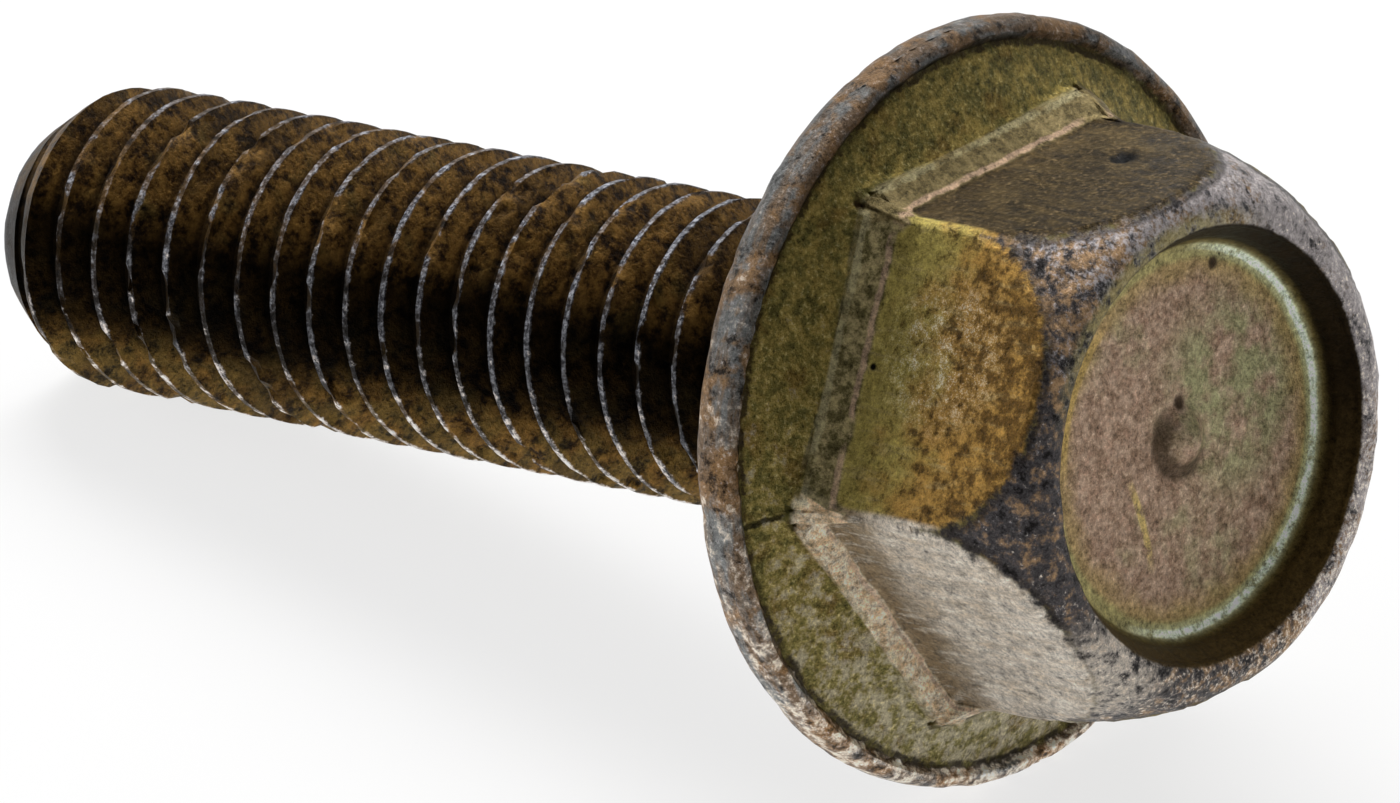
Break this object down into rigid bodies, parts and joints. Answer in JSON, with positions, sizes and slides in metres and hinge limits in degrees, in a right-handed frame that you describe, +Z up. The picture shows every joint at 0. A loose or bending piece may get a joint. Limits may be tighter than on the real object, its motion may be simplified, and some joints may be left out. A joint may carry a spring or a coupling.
{
  "type": "flange bolt",
  "caption": "Hexagon head bolt with a built-in round flange under the head and a right-hand metric thread, for clamping parts without a loose washer.",
  "frame": {"origin": "middle of the bounding box on the floor the bolt lies on", "axes": "+X is the horizontal direction towards the head, +Z is up. The bolt's axis rises 11.3 degrees towards the head, in the XZ plane, because the bolt lies on the flange's rim and the thread's last full crest"},
  "size_m": [0.0396, 0.0192, 0.019],
  "materials": {
    "yellow_zinc_steel": "satin"
  },
  "bodies": {
    "root": {"flange_bolt": "yellow_zinc_steel"}
  },
  "joints": []
}
